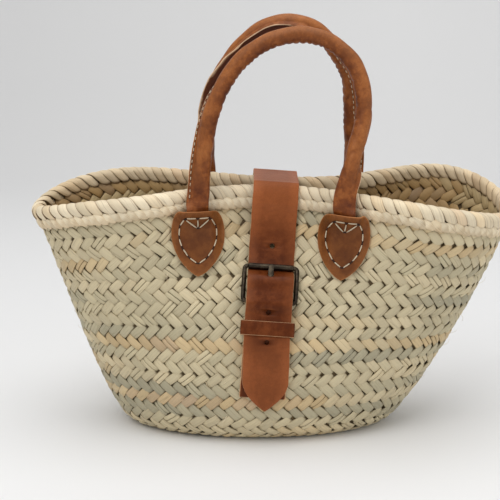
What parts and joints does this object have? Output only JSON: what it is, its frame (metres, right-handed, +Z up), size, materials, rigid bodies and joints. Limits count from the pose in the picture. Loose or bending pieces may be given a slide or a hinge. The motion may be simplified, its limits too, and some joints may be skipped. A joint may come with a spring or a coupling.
{
  "type": "straw market bag",
  "caption": "Open braided palm-leaf bag with an overcast rim, rolled leather handles sewn on under pointed tabs, and a buckled leather strap that draws the mouth together.",
  "frame": {"origin": "middle of the flat base, on the surface that the bag stands on", "axes": "+X along the bag's length towards its right end as seen from the buckle, -Y out of the front with the buckle, +Z up"},
  "size_m": [0.4352, 0.1614, 0.3705],
  "materials": {
    "palm_leaf": "matt braided palm leaf",
    "pale_palm_leaf": "matt twisted palm leaf",
    "leather": "waxed tan leather with raw edges",
    "rope": "matt rope",
    "dark_metal": "dark antique, worn at the edges"
  },
  "bodies": {
    "bag": {"basket_body": "palm_leaf", "rim_roll": "pale_palm_leaf", "rim_cord": "pale_palm_leaf", "front_left_tab": "leather", "front_left_leg_end": "leather", "front_right_tab": "leather", "front_right_leg_end": "leather", "back_left_tab": "leather", "back_left_leg_end": "leather", "back_right_tab": "leather", "back_right_leg_end": "leather", "closing_strap": "leather", "anchor_strap": "leather", "buckle_frame": "dark_metal"},
    "front_handle": {"front_handle_sleeve": "leather", "front_handle_core": "rope"},
    "back_handle": {"back_handle_sleeve": "leather", "back_handle_core": "rope"},
    "strap_tip": {"strap_tip": "leather"},
    "strap_keeper": {"strap_keeper": "leather"},
    "buckle_roller": {"buckle_roller": "dark_metal"},
    "buckle_prong": {"buckle_prong": "dark_metal"}
  },
  "joints": [
    {"name": "front_handle_swing", "type": "hinge", "parent": "bag", "child": "front_handle", "pos_m": [0.01068, -0.05132, 0.21696], "axis": [0.9923, -0.1236, 0.0002], "range_deg": [-6, 118]},
    {"name": "back_handle_swing", "type": "hinge", "parent": "bag", "child": "back_handle", "pos_m": [0.02023, 0.06099, 0.21734], "axis": [-0.9946, 0.1037, 0.0007], "range_deg": [-6, 118]},
    {"name": "strap_tip_flex", "type": "hinge", "parent": "bag", "child": "strap_tip", "pos_m": [0.00748, -0.07992, 0.10272], "axis": [-0.9976, 0, 0.0698], "range_deg": [0, 60], "stiffness_Nm_per_rad": 0.012},
    {"name": "keeper_slide", "type": "slide", "parent": "bag", "child": "strap_keeper", "axis": [0.0656, 0.3383, 0.9387], "range_m": [-0.001, 0.004]},
    {"name": "buckle_roller_spin", "type": "hinge", "parent": "bag", "child": "buckle_roller", "pos_m": [0.01136, -0.05014, 0.15815], "axis": [0.9976, 0, -0.0698], "continuous": true},
    {"name": "buckle_prong_lift", "type": "hinge", "parent": "bag", "child": "buckle_prong", "pos_m": [0.00946, -0.0661, 0.13106], "axis": [0.9976, 0, -0.0698], "range_deg": [0, 3]}
  ]
}
